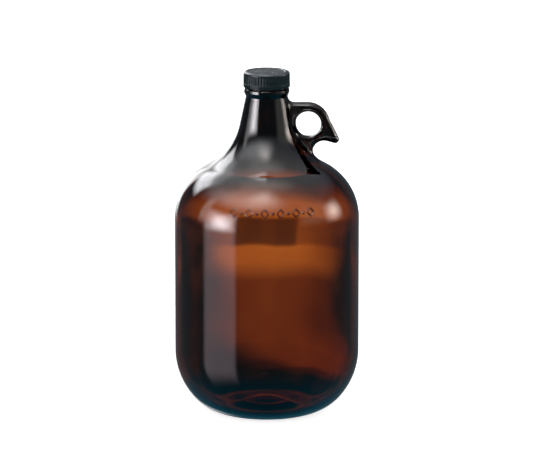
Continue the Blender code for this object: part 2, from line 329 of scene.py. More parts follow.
PANEL_LEAN_DEG = 9.0
PANEL_LEAN_Z = (-0.005, -0.055)
PANEL_FOOT_SLOPE = 0.3
MAIN_PANEL_Y = (0.335, 0.300)  # the panel at the back is the tube's part past these
SIDE_PANEL_DROP = 0.09  # how much lower the other panels reach
PANEL_SPILL = 0.01
SHELF_Z = 0.2265
SHELF_SIDES = 96
SHADE_ACROSS = (-0.35, 5.25, 0.5)  # middle, half width and soft edge of a panel's dim patch
SHADE_UP = (0.0875, 0.014, 0.003)
SHADE_DEPTH = 0.6

WORLD_COLOR = (1.0, 1.0, 1.0, 1.0)
FLOOR_COLOR = (0.9, 0.9, 0.9, 1.0)
FLOOR_ROUGHNESS = 0.9
FLOOR_GLOW = 0.8
FLOOR_HALF = 9.0

CAMERA_ELEVATION_DEG = 12.0
CAMERA_DISTANCE = 4.126
CAMERA_AIM = Vector((0.00295, 0.00269, 0.1664))
CAMERA_LENS = 312.0
CAMERA_REACH = 50.0

# ---------------------------------------------------------------- profiles: rows of (r, z) and their normals


def arc_rows(center_r, center_z, radius, start_deg, end_deg, step, hollow=False):
    """Rows along an arc, both ends included, about one every step metres.
    A hollow arc's glass is outside it."""
    count = max(1, math.ceil(math.radians(abs(end_deg - start_deg)) * radius / step))
    rows = []
    for i in range(count + 1):
        angle = math.radians(start_deg + (end_deg - start_deg) * i / count)
        nr, nz = math.cos(angle), math.sin(angle)
        side = -1.0 if hollow else 1.0
        rows.append((center_r + radius * nr, center_z + radius * nz, side * nr, side * nz))
    return rows


def line_rows(start, end, step):
    """Rows along a straight stretch of the outside, run upwards or inwards, without its two end points."""
    dr, dz = end[0] - start[0], end[1] - start[1]
    length = math.hypot(dr, dz)
    count = max(1, math.ceil(length / step))
    return [
        (start[0] + dr * i / count, start[1] + dz * i / count, dz / length, -dr / length)
        for i in range(1, count)
    ]


def heel_rows(side_radius, high_radius, low_radius, floor_z, step):
    split = math.radians(HEEL_SPLIT_DEG)
    gap = high_radius - low_radius
    floor_radius = side_radius - high_radius + gap * math.cos(split)
    side_z = floor_z + low_radius + gap * math.sin(split)
    low = arc_rows(floor_radius, floor_z + low_radius, low_radius, -90, -HEEL_SPLIT_DEG, step)
    return low + arc_rows(side_radius - high_radius, side_z, high_radius, -HEEL_SPLIT_DEG, 0, step)[1:]


def shoulder_rows(inset, step, start_deg=0.0, end_deg=SHOULDER_DEG):
    center_r = BODY_RADIUS - SHOULDER_RADIUS
    return arc_rows(center_r, SIDE_TOP_Z, SHOULDER_RADIUS - inset, start_deg, end_deg, step)


def neck_rows(inset, step):
    slope = math.radians(SHOULDER_DEG)
    reach = SHOULDER_RADIUS + NECK_BLEND_RADIUS
    center_r = BODY_RADIUS - SHOULDER_RADIUS + reach * math.cos(slope)
    center_z = SIDE_TOP_Z + reach * math.sin(slope)
    start, end = 180 + SHOULDER_DEG, 180 + NECK_CONE_DEG
    return arc_rows(center_r, center_z, NECK_BLEND_RADIUS + inset, start, end, step, hollow=True)


def cone_radius(row, z):
    return row[0] - (z - row[1]) * math.tan(math.radians(NECK_CONE_DEG))


def net_rows(step):
    """The outside from high on the shoulder to the neck's top."""
    rows = shoulder_rows(0.0, step, NET_START_DEG) + neck_rows(0.0, step)[1:]
    top = (cone_radius(rows[-1], NECK_TOP_Z), NECK_TOP_Z)
    return rows + line_rows(rows[-1], top, step) + [(*top, *rows[-1][2:])]


def finish_rows(last):
    """The outside from the neck's top, over the bead and the mouth, to the inside of the neck."""
    corners = (
        (last[0], last[1], 0.0, FINISH_STEP),
        (last[0] - NECK_TUCK, last[1] + NECK_TUCK_RISE, NECK_TUCK_ROUND, FINISH_STEP),
        (BEAD_RADIUS, BEAD_LOW_Z + BEAD_FOOT, BEAD_LOW_ROUND, FINISH_STEP),
        (BEAD_RADIUS - BEAD_LEAN, BEAD_HIGH_Z, BEAD_HIGH_ROUND, FINISH_STEP),
        (FINISH_RADIUS, BEAD_HIGH_Z, BEAD_INNER_ROUND, THREAD_STEP),
        (FINISH_RADIUS, FINISH_TOP_Z, LIP_ROUND, THREAD_STEP),
        (BORE_RADIUS, FINISH_TOP_Z, MOUTH_ROUND, BORE_STEP),
        (BORE_RADIUS, NECK_TOP_Z, 0.0, BORE_STEP),
    )
    return rounded_rows(corners)


def side_and_floor_rows(step):
    """The outside from the middle of the pushed-up base to the top of the straight side."""
    heel = heel_rows(BODY_RADIUS, HEEL_HIGH_RADIUS, HEEL_LOW_RADIUS, 0.0, step)
    punt_radius = heel[0][0] - BEARING_WIDTH
    dome_radius = (punt_radius**2 + PUNT_HEIGHT**2) / (2 * PUNT_HEIGHT)
    dome_deg = math.degrees(math.asin(punt_radius / dome_radius))
    dome_z = PUNT_HEIGHT - dome_radius
    dome = arc_rows(0.0, dome_z, dome_radius, 90 - PUNT_HUB_DEG, 90 - dome_deg, step, hollow=True)
    side = line_rows(heel[-1], (BODY_RADIUS, SIDE_TOP_Z), 2 * step)
    return dome + heel + side


def inner_rows(step):
    """The inside of the glass, from the foot of the bore down to near the middle of the floor."""
    heel = heel_rows(BODY_RADIUS - WALL, HEEL_HIGH_RADIUS - WALL, HEEL_LOW_RADIUS - FLOOR, FLOOR, step)
    floor_radius = heel[0][0]
    count = math.ceil(floor_radius / step)
    rows = []
    for i in range(1, count):
        share = i / count
        rise = PUNT_HEIGHT * (1 + math.cos(math.pi * share)) / 2
        slope = -PUNT_HEIGHT * math.pi / floor_radius * math.sin(math.pi * share) / 2
        size = math.hypot(1.0, slope)
        rows.append((floor_radius * share, FLOOR + rise, slope / size, -1.0 / size))
    neck = neck_rows(WALL, step)
    bore_z = neck[-1][1] + (neck[-1][0] - BORE_RADIUS) / math.tan(math.radians(NECK_CONE_DEG))
    rows += heel + line_rows(heel[-1], (BODY_RADIUS - WALL, SIDE_TOP_Z), 2 * step)
    rows += shoulder_rows(WALL, step) + neck[1:] + line_rows(neck[-1], (BORE_RADIUS, bore_z), step)
    rows.append((BORE_RADIUS, bore_z, 1.0, 0.0))
    rows += line_rows((BORE_RADIUS, bore_z), (BORE_RADIUS, NECK_TOP_Z), step)
    return [(r, z, -nr, -nz) for r, z, nr, nz in reversed(rows)]


# ---------------------------------------------------------------- signed distances, negative inside the glass


def polygon_distance(x, y, corners):
    """Signed distance of points to a closed polygon."""
    x, y = np.asarray(x, float), np.asarray(y, float)
    best = np.full(x.shape, np.inf)
    inside = np.zeros(x.shape, bool)
    for (ax, ay), (bx, by) in zip(corners, corners[1:] + corners[:1]):
        ex, ey = bx - ax, by - ay
        if ex == 0 and ey == 0:
            continue
        t = np.clip(((x - ax) * ex + (y - ay) * ey) / (ex * ex + ey * ey), 0, 1)
        best = np.minimum(best, (x - ax - ex * t) ** 2 + (y - ay - ey * t) ** 2)
        crosses = (ay > y) != (by > y)
        if ey != 0:
            inside ^= crosses & (x < ax + (y - ay) * ex / ey)
    return np.where(inside, -1.0, 1.0) * np.sqrt(best)


def smooth_min(a, b, width):
    overlap = np.maximum(width - np.abs(a - b), 0.0) / width
    return np.minimum(a, b) - overlap * overlap * width / 4


def rounded_plate(flat, across, half, radius):
    """A plate with a flat distance field, of half thickness half, with its edges rounded."""
    a, b = flat + radius, np.abs(across) - half + radius
    outside = np.hypot(np.maximum(a, 0.0), np.maximum(b, 0.0))
    return outside + np.minimum(np.maximum(a, b), 0.0) - radius


def handle_outline():
    """The handle's edge from the neck over the ring, round the spur and under it to the shoulder."""
    toward = math.atan2(NOTCH_Z - SPUR_Z, NOTCH_X - SPUR_X)
    apart = math.hypot(NOTCH_Z - SPUR_Z, NOTCH_X - SPUR_X)
    tangent_deg = math.degrees(toward + math.acos((SPUR_RADIUS + NOTCH_RADIUS) / apart))
    arcs = (
        (RING_X, RING_Z, CROWN_RADIUS, 90, CROWN_END_DEG, OUTLINE_STEP),
        (SPUR_X, SPUR_Z, SPUR_RADIUS, CROWN_END_DEG, tangent_deg, OUTLINE_STEP / 2),
        (NOTCH_X, NOTCH_Z, NOTCH_RADIUS, tangent_deg + 180, NOTCH_END_DEG, OUTLINE_STEP),
    )
    edge = [(ROOT_X, RING_Z + CROWN_RADIUS)]
    for sizes in arcs:
        edge += [row[:2] for row in arc_rows(*sizes)]
    return edge + [(ROOT_X, edge[-1][1] - WEB_FOOT)]


OUTLINE = handle_outline()


def handle_distance(x, y, z):
    outline = polygon_distance(x, z, OUTLINE)
    from_center = np.hypot(x - RING_X, z - RING_Z)
    ring_flat = np.abs(from_center - HOLE_RADIUS - RING_WIDTH / 2) - RING_WIDTH / 2
    web_flat = np.maximum(outline + WEB_INSET, HOLE_RADIUS + WEB_INSET - from_center)
    ring = rounded_plate(ring_flat, y, RING_THICKNESS / 2, EDGE_ROUND)
    rim = rounded_plate(outline, y, RIM_THICKNESS / 2, RIM_ROUND)
    rim = -smooth_min(-rim, outline + RIM_WIDTH, RIM_BLEND)
    web = rounded_plate(web_flat, y, WEB_THICKNESS / 2, EDGE_ROUND)
    fused = smooth_min(smooth_min(ring, rim, RING_BLEND), web, WEB_BLEND)
    return np.maximum(fused, HOLE_RADIUS - from_center)


def turned_distance(r, z):
    """Signed distance to the turned outside, from the shoulder's start to the neck's top."""
    slope, cone = math.radians(SHOULDER_DEG), math.radians(NECK_CONE_DEG)
    low_r, low_z = BODY_RADIUS - SHOULDER_RADIUS, SIDE_TOP_Z
    reach = SHOULDER_RADIUS + NECK_BLEND_RADIUS
    high_r, high_z = low_r + reach * math.cos(slope), low_z + reach * math.sin(slope)
    shoulder = np.hypot(r - low_r, z - low_z) - SHOULDER_RADIUS
    hollow = NECK_BLEND_RADIUS - np.hypot(r - high_r, z - high_z)
    straight = (r - high_r) * math.cos(cone) + (z - high_z) * math.sin(cone) + NECK_BLEND_RADIUS
    past_shoulder = math.cos(slope) * (z - low_z) > math.sin(slope) * (r - low_r)
    past_hollow = -math.cos(cone) * (z - high_z) < -math.sin(cone) * (r - high_r)
    return np.where(past_shoulder, np.where(past_hollow, straight, hollow), shoulder)


def upper_distance(x, y, z):
    """Signed distance to the jug's outside between shoulder and neck top, with the handle blended in."""
    body = turned_distance(np.hypot(x, y), z)
    near = (x > ROOT_X - 2 * HANDLE_BLEND) & (np.abs(y) < RING_THICKNESS / 2 + 2 * HANDLE_BLEND)
    glass = body.copy()
    glass[near] = smooth_min(body[near], handle_distance(x[near], y[near], z[near]), HANDLE_BLEND)
    return glass


def gradient(points):
    """Slope of upper_distance along x, y and z."""
    parts = []
    for axis in range(3):
        step = np.zeros(3)
        step[axis] = SLOPE_REACH
        rise = upper_distance(*(points + step).T) - upper_distance(*(points - step).T)
        parts.append(rise / (2 * SLOPE_REACH))
    return np.stack(parts, axis=1)


# ---------------------------------------------------------------- rows along a profile with rounded corners


def rounded_rows(corners):
    """Rows along corners of (r, z, rounding, step of the stretch that follows), with an arc at each."""
    points = [np.array(corner[:2], float) for corner in corners]
    rows, at = [], points[0]
    for i in range(len(points) - 1):
        ahead = (points[i + 1] - points[i]) / np.linalg.norm(points[i + 1] - points[i])
        normal = np.array((ahead[1], -ahead[0]))
        if i + 2 < len(points):
            after = (points[i + 2] - points[i + 1]) / np.linalg.norm(points[i + 2] - points[i + 1])
            turn = math.atan2(ahead[0] * after[1] - ahead[1] * after[0], float(ahead @ after))
        else:
            turn = 0.0
        size = corners[i + 1][2]
        end = points[i + 1] - ahead * size * math.tan(abs(turn) / 2)
        length = np.linalg.norm(end - at)
        count = max(1, math.ceil(length / corners[i][3]))
        for k in range(count + 1):
            rows.append((*(at + (end - at) * k / count), *normal))
        if turn and size:
            side = math.copysign(1.0, turn)
            center = end - normal * size * side
            first = math.atan2(normal[1], normal[0])
            steps = max(2, math.ceil(abs(turn) / math.radians(CORNER_DEG)))
            for k in range(1, steps):
                angle = first + turn * k / steps
                bent = np.array((math.cos(angle), math.sin(angle)))
                rows.append((*(center + bent * size * side), *bent))
            at = points[i + 1] + after * size * math.tan(abs(turn) / 2)
        else:
            at = end
    return rows


# ---------------------------------------------------------------- reliefs: how far surfaces stand out


def smooth(share):
    share = np.clip(share, 0.0, 1.0)
    return share * share * (3 - 2 * share)


def ornament(points):
    """The raised band on the shoulder: outlined lozenges with a round bead between each two."""
    x, y, z = points.T
    r = np.hypot(x, y)
    turned = (np.degrees(np.arctan2(y, x)) - ORNAMENT_DEG + 180) % 360 - 180
    slope = np.arctan2(z - SIDE_TOP_Z, r - (BODY_RADIUS - SHOULDER_RADIUS))
    along = (slope - math.radians(ORNAMENT_SLOPE_DEG)) * SHOULDER_RADIUS
    spacing = 2 * ORNAMENT_HALF_DEG / (ORNAMENT_COUNT - 1)
    most = (ORNAMENT_COUNT - 1) // 2
    index = np.clip(np.round(turned / spacing), -most, most)
    across = np.radians(turned - index * spacing) * r
    lozenge = np.abs(across) / LOZENGE_HALF_WIDTH + np.abs(along) / LOZENGE_HALF_HEIGHT
    outline = 1 - np.abs(lozenge - (1 - LOZENGE_STROKE)) / LOZENGE_STROKE
    bead = (1 - np.hypot(across, along) / BEAD_DOT_RADIUS) * BEAD_DOT_STEEPNESS
    is_lozenge = np.mod(index + most, 2) == 0
    return ORNAMENT_RELIEF * smooth(np.where(is_lozenge, outline * LOZENGE_STEEPNESS, bead))


def screw_ridge(points, start_z, start_deg, crest, base_half, crest_half):
    """A one-turn screw ridge that sinks back into its wall at both ends."""
    x, y, z = points.T
    angle = np.mod(np.arctan2(y, x) - math.radians(start_deg), TAU)
    best = np.zeros(len(points))
    end = THREAD_TURNS * TAU
    for turn in range(math.ceil(THREAD_TURNS)):
        turned = angle + turn * TAU
        fade = smooth(np.minimum(turned, end - turned) / math.radians(THREAD_FADE_DEG))
        off = np.abs(z - start_z - THREAD_PITCH * turned / TAU)
        best = np.maximum(best, crest * fade * smooth((base_half - off) / (base_half - crest_half)))
    return best


def jug_thread(points):
    depth = THREAD_CREST_RADIUS - FINISH_RADIUS
    return screw_ridge(points, THREAD_START_Z, 0.0, depth, THREAD_BASE_HALF, THREAD_CREST_HALF)


def cap_thread(points):
    lag_rise = THREAD_PITCH * (CAP_THREAD_LAG_DEG / 360 - 0.5)
    start_z = THREAD_START_Z + lag_rise + THREAD_PLAY
    depth = CAP_INSIDE_RADIUS - CAP_THREAD_CREST_RADIUS
    halves = (CAP_THREAD_BASE_HALF, CAP_THREAD_CREST_HALF)
    return screw_ridge(points, start_z, CAP_THREAD_LAG_DEG, depth, *halves)


def cap_ribs(points):
    x, y, z = points.T
    wave = 0.5 + 0.5 * np.cos(RIB_COUNT * np.arctan2(y, x))
    low = smooth((z - RIB_LOW_Z) / RIB_RUN_OUT)
    high = smooth((RIB_HIGH_Z - z) / RIB_RUN_OUT)
    return -RIB_DEPTH * (1 - wave**RIB_SHARPNESS) * low * high


def wavy_wall(points):
    """The slow unevenness of a blown inside wall."""
    total = np.zeros(len(points))
    for i in range(WAVE_COUNT):
        turn, rise = i * WAVE_TURN, math.cos(i * WAVE_RISE)
        length = WAVE_LONG * (1 - i / (2 * WAVE_COUNT))
        flat = math.sqrt(max(0.0, 1 - rise * rise * WAVE_FLATTEN))
        way = np.array((math.cos(turn) * flat, math.sin(turn) * flat, rise * math.sqrt(WAVE_FLATTEN)))
        total += np.sin(points @ way * TAU / length + i)
    return total * WAVE_HEIGHT / math.sqrt(WAVE_COUNT)


# ---------------------------------------------------------------- skins, built ring by ring


class Skin:
    """Vertices with normals, and faces, of one closed mesh."""

    def __init__(self):
        self.points, self.normals, self.faces = [], [], []

    def add(self, points, normals):
        start = len(self.points)
        self.points.extend(np.asarray(points).tolist())
        self.normals.extend(np.asarray(normals).tolist())
        return list(range(start, len(self.points)))

    def ring(self, row, angles, relief=None):
        """A ring of vertices at a profile row, moved out along the normal by relief(points)."""
        r, z, nr, nz = row
        cos, sin, none = np.cos(angles), np.sin(angles), np.zeros(len(angles))
        points = np.stack([r * cos, r * sin, none + z], 1)
        normals = np.stack([nr * cos, nr * sin, none + nz], 1)
        if relief:
            around = np.stack([-sin, cos, none], 1)
            along = np.stack([-nz * cos, -nz * sin, none + nr], 1)
            height = relief(points)[:, None]
            tilt = 0.0
            for way in (around, along):
                rise = relief(points + SLOPE_REACH * way) - relief(points - SLOPE_REACH * way)
                tilt = tilt + (rise / (2 * SLOPE_REACH))[:, None] * way
            points = points + height * normals
            normals = normals - tilt
            normals = normals / np.linalg.norm(normals, axis=1)[:, None]
        return self.add(points, normals)

    def join(self, low, high):
        """Quads between two rings of one count, of which high comes later along the profile."""
        for i in range(len(low)):
            j = (i + 1) % len(low)
            self.faces.append((low[i], low[j], high[j], high[i]))

    def zip(self, low, low_angles, high, high_angles):
        """Triangles between two rings of different counts, both with angles that rise from -pi."""
        n, m = len(low), len(high)
        low_at = [*low_angles, low_angles[0] + TAU]
        high_at = [*high_angles, high_angles[0] + TAU]
        i = j = 0
        while i < n or j < m:
            if j == m or (i < n and low_at[i + 1] <= high_at[j + 1]):
                self.faces.append((low[i % n], low[(i + 1) % n], high[j % m]))
                i += 1
            else:
                self.faces.append((low[i % n], high[(j + 1) % m], high[j % m]))
                j += 1

    def rows(self, rows, angles, relief=None, after=None):
        """Rings for all rows, joined to each other and to the ring before them. Returns the last ring."""
        for row in rows:
            ring = self.ring(row, angles, relief)
            if after:
                self.join(after, ring)
            after = ring
        return after

    def close(self, ring, z, up, last):
        """A fan from a ring to the point on the axis at height z."""
        center = self.add([(0.0, 0.0, z)], [(0.0, 0.0, up)])[0]
        for i in range(len(ring)):
            j = (i + 1) % len(ring)
            self.faces.append((ring[i], ring[j], center) if last else (ring[j], ring[i], center))

    def object(self, name, material):
        mesh = bpy.data.meshes.new(name)
        mesh.from_pydata(self.points, [], self.faces)
        mesh.polygons.foreach_set("use_smooth", [True] * len(mesh.polygons))
        mesh.normals_split_custom_set_from_vertices(self.normals)
        mesh.materials.append(material)
        obj = bpy.data.objects.new(name, mesh)
        bpy.context.scene.collection.objects.link(obj)
        return obj


def spaced_angles(coarse_deg, center_deg=0.0, half_deg=0.0, fine_deg=1.0):
    """Angles round the axis from -180 degrees, finer within half_deg of center_deg."""
    angles, at = [], -180.0
    while at < 180.0 - LEAST_SHARE * coarse_deg:
        angles.append(at)
        off = abs((at - center_deg + 180) % 360 - 180) - half_deg
        share = min(1.0, max(0.0, off / SPACING_BLEND_DEG))
        at += fine_deg + (coarse_deg - fine_deg) * share if half_deg else coarse_deg
    return np.radians(np.array(angles))


def upper_net(skin, angles, rows):
    """The outside with the handle, as a surface net. Returns its first and last ring and their angles."""
    r, z, nr, nz = np.array(rows).T
    offsets = (np.arange(NET_DEPTH) - NET_INSIDE_STEPS) * NET_STEP
    radial = r[:, None] + nr[:, None] * offsets
    height = np.broadcast_to(z[:, None] + nz[:, None] * offsets, (len(angles), len(rows), NET_DEPTH))
    cos, sin = np.cos(angles)[:, None, None], np.sin(angles)[:, None, None]
    grid = np.stack([radial * cos, radial * sin, height], axis=-1)
    value = upper_distance(grid[..., 0], grid[..., 1], grid[..., 2])

    def corner(array, a, b, c):
        turned = np.roll(array, -a, axis=0)
        return turned[:, b : len(rows) - 1 + b, c : NET_DEPTH - 1 + c]

    corners = [(a, b, c) for a in (0, 1) for b in (0, 1) for c in (0, 1)]
    total = np.zeros(corner(grid, 0, 0, 0).shape)
    hits = np.zeros(total.shape[:3])
    for p in corners:
        for q in corners:
            if sum(q) - sum(p) != 1 or sum(abs(a - b) for a, b in zip(p, q)) != 1:
                continue
            v0, v1 = corner(value, *p), corner(value, *q)
            crosses = (v0 < 0) != (v1 < 0)
            share = np.where(crosses, v0 / np.where(crosses, v0 - v1, 1.0), 0.0)[..., None]
            place = corner(grid, *p) * (1 - share) + corner(grid, *q) * share
            total += np.where(crosses[..., None], place, 0.0)
            hits += crosses
    active = hits > 0
    points = total[active] / hits[active][:, None]
    for _ in range(NET_PASSES):
        slope = gradient(points)
        size = np.sum(slope * slope, axis=1)
        points = points - slope * (upper_distance(*points.T) / size)[:, None]
    slope = gradient(points)
    ids = np.full(active.shape, -1)
    ids[active] = skin.add(points, slope / np.linalg.norm(slope, axis=1)[:, None])

    inside, back = value < 0, np.roll(ids, 1, axis=0)
    ahead = np.roll(inside, -1, axis=0)
    mid = inside[:, 1:-1, 1:-1]
    sets = (
        (mid, ahead[:, 1:-1, 1:-1], (ids[:, :-1, :-1], ids[:, 1:, :-1], ids[:, 1:, 1:], ids[:, :-1, 1:])),
        (
            inside[:, :-1, 1:-1],
            inside[:, 1:, 1:-1],
            (back[:, :, :-1], back[:, :, 1:], ids[:, :, 1:], ids[:, :, :-1]),
        ),
        (
            inside[:, 1:-1, :-1],
            inside[:, 1:-1, 1:],
            (back[:, :-1], ids[:, :-1], ids[:, 1:], back[:, 1:]),
        ),
    )
    for near, far, around in sets:
        quads = np.stack(around, axis=-1)
        skin.faces.extend(map(tuple, quads[near & ~far].tolist()))
        skin.faces.extend(map(tuple, quads[~near & far][:, ::-1].tolist()))
    following = np.append(angles[1:], angles[0] + TAU)
    middles = (angles + following) / 2
    rings = [[int(i) for i in layer[layer >= 0]] for layer in (ids[:, 0], ids[:, -1])]
    return rings[0], rings[1], middles


# ---------------------------------------------------------------- the three pieces


def make_jug(material):
    """The whole jug as one closed skin: underside, side, shoulder, handle, finish and the inside."""
    skin = Skin()
    plain = spaced_angles(PLAIN_DEG)
    front = spaced_angles(PLAIN_DEG, ORNAMENT_DEG, ORNAMENT_HALF_DEG + BAND_MARGIN_DEG, BAND_FINE_DEG)
    handle = spaced_angles(PLAIN_DEG, 0.0, HANDLE_HALF_DEG, HANDLE_FINE_DEG)

    low = side_and_floor_rows(BODY_STEP)
    lower_shoulder = shoulder_rows(0.0, BODY_STEP, 0.0, BAND_START_DEG)
    ring = skin.rows(low + lower_shoulder, plain)
    skin.close(list(range(len(plain))), PUNT_HEIGHT, -1.0, last=False)
    band = shoulder_rows(0.0, BAND_STEP, BAND_START_DEG + BAND_GAP_DEG, BAND_END_DEG)
    first = skin.ring(band[0], front, ornament)
    skin.zip(ring, plain, first, front)
    ring = skin.rows(band[1:], front, ornament, after=first)

    rows = net_rows(NET_STEP)
    net_first, net_last, middles = upper_net(skin, handle, rows)
    between = shoulder_rows(0.0, BODY_STEP, BAND_END_DEG + BAND_GAP_DEG, NET_START_DEG - NET_GAP_DEG)
    first = skin.ring(between[0], middles)
    skin.zip(ring, front, first, middles)
    skin.join(skin.rows(between[1:], middles, after=first), net_first)

    finish = finish_rows(rows[-1])
    first = skin.ring(finish[0], plain)
    skin.zip(net_last, middles, first, plain)
    ring = first
    for row in finish[1:]:
        threaded = row[1] > BEAD_HIGH_Z and row[2] > UPRIGHT
        ring = skin.rows([row], plain, jug_thread if threaded else None, after=ring)
    ring = skin.rows(inner_rows(INNER_STEP), plain, wavy_wall, after=ring)
    skin.close(ring, FLOOR + PUNT_HEIGHT, 1.0, last=True)
    return skin.object("jug_glass", material)


def make_cap(material):
    """The cap as one closed skin, from the middle of its ceiling round its side to the middle of its top."""
    skin = Skin()
    ribs = spaced_angles(360 / (COLUMNS_PER_RIB * RIB_COUNT))
    top = CAP_BASE_Z + CAP_HEIGHT
    ceiling = CAP_BASE_Z + CAP_INSIDE_HEIGHT
    recess_z = top - CAP_RECESS_DEPTH
    rib_radius = CAP_RADIUS - RIB_INSET
    corners = (
        (HUB_RADIUS, ceiling, 0.0, CAP_STEP),
        (CAP_INSIDE_RADIUS, ceiling, CAP_CEILING_ROUND, RIB_STEP),
        (CAP_INSIDE_RADIUS, CAP_BASE_Z, CAP_FOOT_ROUND, CAP_STEP),
        (CAP_RADIUS, CAP_BASE_Z, CAP_BEVEL, CAP_STEP),
        (CAP_RADIUS, RIB_LOW_Z - CAP_STEP_HALF, CAP_BAND_ROUND, CAP_STEP),
        (rib_radius, RIB_LOW_Z + CAP_STEP_HALF, CAP_STEP_ROUND, RIB_STEP),
        (rib_radius, top, CAP_EDGE_ROUND, CAP_STEP),
        (CAP_RECESS_RADIUS + RECESS_SLOPE, top, RECESS_ROUND, CAP_STEP),
        (CAP_RECESS_RADIUS - RECESS_SLOPE, recess_z, RECESS_ROUND, CAP_STEP),
        (HUB_RADIUS, recess_z, 0.0, CAP_STEP),
    )
    ring = None
    for row in rounded_rows(corners):
        relief = None
        if row[2] < -UPRIGHT:
            relief = cap_thread
        elif row[0] > rib_radius - SAME_RADIUS and row[2] > 0.5 and row[1] > RIB_LOW_Z:
            relief = cap_ribs
        ring = skin.rows([row], ribs, relief, after=ring)
    skin.close(list(range(len(ribs))), ceiling, -1.0, last=False)
    skin.close(ring, recess_z, 1.0, last=True)
    return skin.object("cap_shell", material)


def make_liner(material):
    """The liner as one closed disc, dented below where the mouth presses on it."""
    skin = Skin()
    angles = spaced_angles(LINER_DEG)
    dent_z = LINER_LOW_Z + DENT_DEPTH
    corners = (
        (HUB_RADIUS, LINER_LOW_Z, 0.0, LINER_STEP),
        (BORE_RADIUS - DENT_INNER_SLOPE, LINER_LOW_Z, DENT_ROUND, LINER_STEP),
        (BORE_RADIUS, dent_z, DENT_ROUND, LINER_STEP),
        (FINISH_RADIUS - DENT_OUTER_SLOPE, dent_z, DENT_ROUND, LINER_STEP),
        (FINISH_RADIUS, LINER_LOW_Z, DENT_ROUND, LINER_STEP),
        (LINER_RADIUS, LINER_LOW_Z, LINER_ROUND, LINER_STEP),
        (LINER_RADIUS, LINER_HIGH_Z, LINER_ROUND, LINER_STEP),
        (HUB_RADIUS, LINER_HIGH_Z, 0.0, LINER_STEP),
    )
    ring = skin.rows(rounded_rows(corners), angles)
    skin.close(list(range(len(angles))), LINER_LOW_Z, -1.0, last=False)
    skin.close(ring, LINER_HIGH_Z, 1.0, last=True)
    return skin.object("cap_liner", material)


# ---------------------------------------------------------------- materials


class Shader:
    """A material's node tree with a Principled shader."""

    def __init__(self, name, **values):
        self.material = bpy.data.materials.new(name)
        self.material.use_nodes = True
        self.tree = self.material.node_tree
        self.shader = self.tree.nodes["Principled BSDF"]
        self.output = self.tree.nodes["Material Output"]
        for key, value in values.items():
            self.shader.inputs[key.replace("_", " ")].default_value = value

    def node(self, kind, inputs=(), **settings):
        node = self.tree.nodes.new(kind)
        for key, value in settings.items():
            setattr(node, key, value)
        for key, value in dict(inputs).items():
            self.put(node.inputs[key], value)
        return node

    def put(self, socket, value):
        if isinstance(value, bpy.types.NodeSocket):
            self.tree.links.new(value, socket)
        else:
            socket.default_value = value

    def place(self):
        return self.node("ShaderNodeTexCoord").outputs["Object"]

    def math(self, operation, a, b=0.0, c=0.0):
        return self.node("ShaderNodeMath", {0: a, 1: b, 2: c}, operation=operation).outputs[0]

    def noise(self, scale, detail):
        inputs = {"Vector": self.place(), "Scale": scale, "Detail": detail}
        return self.node("ShaderNodeTexNoise", inputs).outputs["Fac"]

    def spread(self, value, low, high, to_low=0.0, to_high=1.0):
        inputs = {"Value": value, "From Min": low, "From Max": high, "To Min": to_low, "To Max": to_high}
        return self.node("ShaderNodeMapRange", inputs).outputs["Result"]

    def mix(self, share, a, b):
        node = self.node("ShaderNodeMix", data_type="RGBA")
        self.put(node.inputs["Factor"], share)
        self.put(node.inputs["A"], a)
        self.put(node.inputs["B"], b)
        return node.outputs["Result"]

    def bump(self, height, distance, strength):
        inputs = {"Height": height, "Distance": distance, "Strength": strength}
        return self.node("ShaderNodeBump", inputs).outputs["Normal"]

    def set(self, name, value):
        self.put(self.shader.inputs[name], value)


def amber_glass():
    """A clear, slightly uneven skin round a volume that takes the color out of the light."""
    white = (1.0, 1.0, 1.0, 1.0)
    glass = Shader("amber_glass", Transmission_Weight=1.0, IOR=GLASS_IOR, Base_Color=white)
    streaks = glass.noise(GLASS_STREAKS, 1.0)
    grain = glass.noise(GLASS_GRAIN, 3.0)
    height = glass.math("MULTIPLY_ADD", streaks, 1.0, glass.math("MULTIPLY", grain, GLASS_GRAIN_SHARE))
    glass.set("Normal", glass.bump(height, GLASS_BUMP, GLASS_BUMP_STRENGTH))
    scuffs = glass.noise(GLASS_SCUFFS, 6.0)
    glass.set("Roughness", glass.spread(scuffs, 0.5, 0.75, 0.0, GLASS_ROUGHNESS))
    depth = glass.node("ShaderNodeVolumeAbsorption")
    depth.inputs["Color"].default_value = AMBER_COLOR
    depth.inputs["Density"].default_value = AMBER_DENSITY
    glass.tree.links.new(depth.outputs["Volume"], glass.output.inputs["Volume"])
    return glass.material


def charcoal_plastic():
    """Dark satin plastic, with a lighter colour painted on the cap's top as sheen from the light above,
    shinier there, smoother on the plain band.
    """
    cap = Shader("charcoal_plastic", IOR=PLASTIC_IOR)
    grain = cap.noise(PLASTIC_GRAIN, 2.0)
    cloud = cap.noise(PLASTIC_CLOUD, 4.0)
    height = cap.node("ShaderNodeSeparateXYZ", {0: cap.place()}).outputs["Z"]
    top = CAP_BASE_Z + CAP_HEIGHT
    # painted sheen: the base colour lightens towards the cap's top as if lit from above; the same share
    # raises the specular there
    painted_top_sheen = cap.spread(height, *(top - depth for depth in PAINTED_SHEEN_BELOW_TOP))
    side_color, sheen_top_color = (cap.mix(cloud, *colors) for colors in (CAP_SIDE_COLORS, CAP_SHEEN_TOP_COLORS))
    cap.set("Base Color", cap.mix(painted_top_sheen, side_color, sheen_top_color))
    cap.set("Specular IOR Level", cap.math("MULTIPLY_ADD", painted_top_sheen, TOP_SPECULAR_RAISE, CAP_SPECULAR))
    polished = cap.spread(height, RIB_LOW_Z - BAND_FADE, RIB_LOW_Z, BAND_ROUGHNESS, RIB_ROUGHNESS)
    cap.set("Roughness", cap.math("ADD", polished, cap.spread(cloud, 0.3, 0.7, *CLOUD_ROUGHNESS)))
    cap.set("Normal", cap.bump(grain, PLASTIC_BUMP, PLASTIC_BUMP_STRENGTH))
    return cap.material


